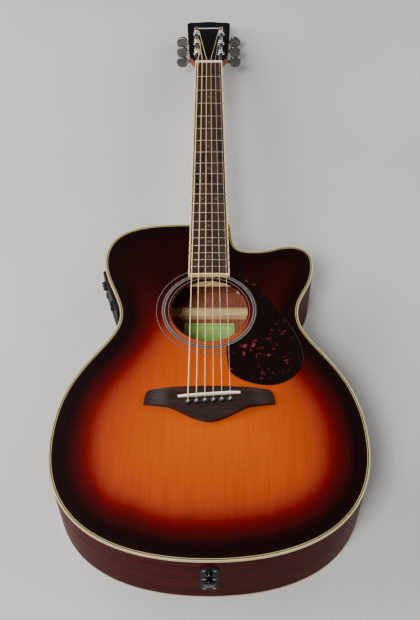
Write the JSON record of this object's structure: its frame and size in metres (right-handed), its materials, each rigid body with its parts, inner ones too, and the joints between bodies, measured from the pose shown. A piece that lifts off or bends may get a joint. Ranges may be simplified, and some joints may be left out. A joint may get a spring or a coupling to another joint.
{
  "type": "acoustic guitar",
  "caption": "Steel-string acoustic guitar with a cutaway body, sunburst top, bound edges, undersaddle pickup and a control panel in the side.",
  "frame": {"origin": "on the outer face of the flat back, under the middle of the saddle line", "axes": "+Z out of the back through the body and the top, +Y along the neck towards the head, +X towards the treble side and the cutaway"},
  "size_m": [0.382, 1.0358, 0.1149],
  "materials": {
    "spruce_sunburst": "gloss sunburst lacquer over spruce",
    "red_brown_wood": "gloss red-brown lacquer",
    "neck_wood": "satin red-brown lacquer",
    "bare_spruce": "bare",
    "bare_mahogany": "bare",
    "binding": "polished",
    "purfling": "polished, with a light line",
    "rosewood": "satin, oiled",
    "guard": "gloss tortoise pattern",
    "rosette": "flush inlay",
    "bone": "polished",
    "black_plastic": "polished",
    "satin_plastic": "fine texture",
    "pearl": "flush inlay",
    "fret_wire": "polished",
    "chrome": "polished",
    "steel": "drawn",
    "bronze": "wound wire",
    "piezo": "braided",
    "paper": "printed plain green",
    "circuit": "coated board",
    "cell": "plain wrap"
  },
  "bodies": {
    "guitar": {"soundboard": "spruce_sunburst", "back_plate": "red_brown_wood", "side_bass": "red_brown_wood", "side_treble": "red_brown_wood", "binding_top": "binding", "binding_back": "binding", "purfling": "purfling", "linings": "bare_spruce", "neck_block": "bare_mahogany", "tail_block": "bare_mahogany", "top_braces": "bare_spruce", "back_braces": "bare_spruce", "bridge_plate": "bare_mahogany", "rosette": "rosette", "pickguard": "guard", "bridge": "rosewood", "saddle": "bone", "saddle_pickup": "piezo", "bridge_pins": "black_plastic", "label": "paper", "neck": "neck_wood", "heel_cap": "black_plastic", "fingerboard": "rosewood", "fingerboard_binding": "binding", "frets": "fret_wire", "position_markers": "pearl", "head_veneer": "black_plastic", "nut": "bone", "truss_rod": "steel", "tuner_housings": "chrome", "tuner_bushings": "chrome", "wood_screws": "chrome", "plain_strings": "steel", "wound_strings": "bronze", "preamp_housing": "satin_plastic", "preamp_panel": "satin_plastic", "circuit_board": "circuit", "jack_plate": "satin_plastic", "output_jack": "chrome", "strap_button": "chrome"},
    "button_1": {"tuner_button_1": "chrome"},
    "post_1": {"tuner_post_1": "chrome"},
    "button_2": {"tuner_button_2": "chrome"},
    "post_2": {"tuner_post_2": "chrome"},
    "button_3": {"tuner_button_3": "chrome"},
    "post_3": {"tuner_post_3": "chrome"},
    "button_4": {"tuner_button_4": "chrome"},
    "post_4": {"tuner_post_4": "chrome"},
    "button_5": {"tuner_button_5": "chrome"},
    "post_5": {"tuner_post_5": "chrome"},
    "button_6": {"tuner_button_6": "chrome"},
    "post_6": {"tuner_post_6": "chrome"},
    "rod_nut": {"truss_rod_nut": "bronze"},
    "knob": {"volume_knob": "black_plastic"},
    "switch": {"tuner_switch": "satin_plastic"},
    "drawer": {"battery_drawer": "satin_plastic", "battery": "cell"},
    "slider_bass": {"slider_bass": "black_plastic"},
    "slider_middle": {"slider_middle": "black_plastic"},
    "slider_treble": {"slider_treble": "black_plastic"}
  },
  "joints": [
    {"name": "tuner_button_1_turn", "type": "hinge", "parent": "guitar", "child": "button_1", "pos_m": [-0.0198, 0.67521, 0.04842], "axis": [-1, 0, 0], "continuous": true},
    {"name": "tuner_post_1_turn", "type": "hinge", "parent": "guitar", "child": "post_1", "pos_m": [-0.0198, 0.67316, 0.06778], "axis": [0, 0.2807, 0.9598], "continuous": true},
    {"name": "tuner_button_2_turn", "type": "hinge", "parent": "guitar", "child": "button_2", "pos_m": [-0.0207, 0.71456, 0.03692], "axis": [-1, 0, 0], "continuous": true},
    {"name": "tuner_post_2_turn", "type": "hinge", "parent": "guitar", "child": "post_2", "pos_m": [-0.0207, 0.71251, 0.05627], "axis": [0, 0.2807, 0.9598], "continuous": true},
    {"name": "tuner_button_3_turn", "type": "hinge", "parent": "guitar", "child": "button_3", "pos_m": [-0.0216, 0.75391, 0.02541], "axis": [-1, 0, 0], "continuous": true},
    {"name": "tuner_post_3_turn", "type": "hinge", "parent": "guitar", "child": "post_3", "pos_m": [-0.0216, 0.75186, 0.04476], "axis": [0, 0.2807, 0.9598], "continuous": true},
    {"name": "tuner_button_4_turn", "type": "hinge", "parent": "guitar", "child": "button_4", "pos_m": [0.0216, 0.75391, 0.02541], "axis": [1, 0, 0], "continuous": true},
    {"name": "tuner_post_4_turn", "type": "hinge", "parent": "guitar", "child": "post_4", "pos_m": [0.0216, 0.75186, 0.04476], "axis": [0, 0.2807, 0.9598], "continuous": true},
    {"name": "tuner_button_5_turn", "type": "hinge", "parent": "guitar", "child": "button_5", "pos_m": [0.0207, 0.71456, 0.03692], "axis": [1, 0, 0], "continuous": true},
    {"name": "tuner_post_5_turn", "type": "hinge", "parent": "guitar", "child": "post_5", "pos_m": [0.0207, 0.71251, 0.05627], "axis": [0, 0.2807, 0.9598], "continuous": true},
    {"name": "tuner_button_6_turn", "type": "hinge", "parent": "guitar", "child": "button_6", "pos_m": [0.0198, 0.67521, 0.04842], "axis": [1, 0, 0], "continuous": true},
    {"name": "tuner_post_6_turn", "type": "hinge", "parent": "guitar", "child": "post_6", "pos_m": [0.0198, 0.67316, 0.06778], "axis": [0, 0.2807, 0.9598], "continuous": true},
    {"name": "truss_rod_nut_turn", "type": "hinge", "parent": "guitar", "child": "rod_nut", "pos_m": [0, 0.22247, 0.08334], "axis": [0, -0.9992, 0.0401], "range_deg": [-180, 180]},
    {"name": "volume_knob_turn", "type": "hinge", "parent": "guitar", "child": "knob", "pos_m": [-0.13815, 0.19568, 0.0634], "axis": [-0.9526, -0.3038, 0.0122], "range_deg": [-135, 135]},
    {"name": "bass_slider_slide", "type": "slide", "parent": "guitar", "child": "slider_bass", "axis": [0.3041, -0.9519, 0.0382], "range_m": [-0.008, 0.008]},
    {"name": "middle_slider_slide", "type": "slide", "parent": "guitar", "child": "slider_middle", "axis": [0.3041, -0.9519, 0.0382], "range_m": [-0.008, 0.008]},
    {"name": "treble_slider_slide", "type": "slide", "parent": "guitar", "child": "slider_treble", "axis": [0.3041, -0.9519, 0.0382], "range_m": [-0.008, 0.008]},
    {"name": "tuner_switch_press", "type": "slide", "parent": "guitar", "child": "switch", "axis": [0.9526, 0.3038, -0.0122], "range_m": [0, 0.0015], "stiffness_N_per_m": 300},
    {"name": "battery_drawer_slide", "type": "slide", "parent": "guitar", "child": "drawer", "axis": [-0.9526, -0.3038, 0.0122], "range_m": [0, 0.05]}
  ],
  "couplings": [
    {"joint": "tuner_post_1_turn", "follows": "tuner_button_1_turn", "ratio": 0.066667},
    {"joint": "tuner_post_2_turn", "follows": "tuner_button_2_turn", "ratio": 0.066667},
    {"joint": "tuner_post_3_turn", "follows": "tuner_button_3_turn", "ratio": 0.066667},
    {"joint": "tuner_post_4_turn", "follows": "tuner_button_4_turn", "ratio": -0.066667},
    {"joint": "tuner_post_5_turn", "follows": "tuner_button_5_turn", "ratio": -0.066667},
    {"joint": "tuner_post_6_turn", "follows": "tuner_button_6_turn", "ratio": -0.066667}
  ]
}
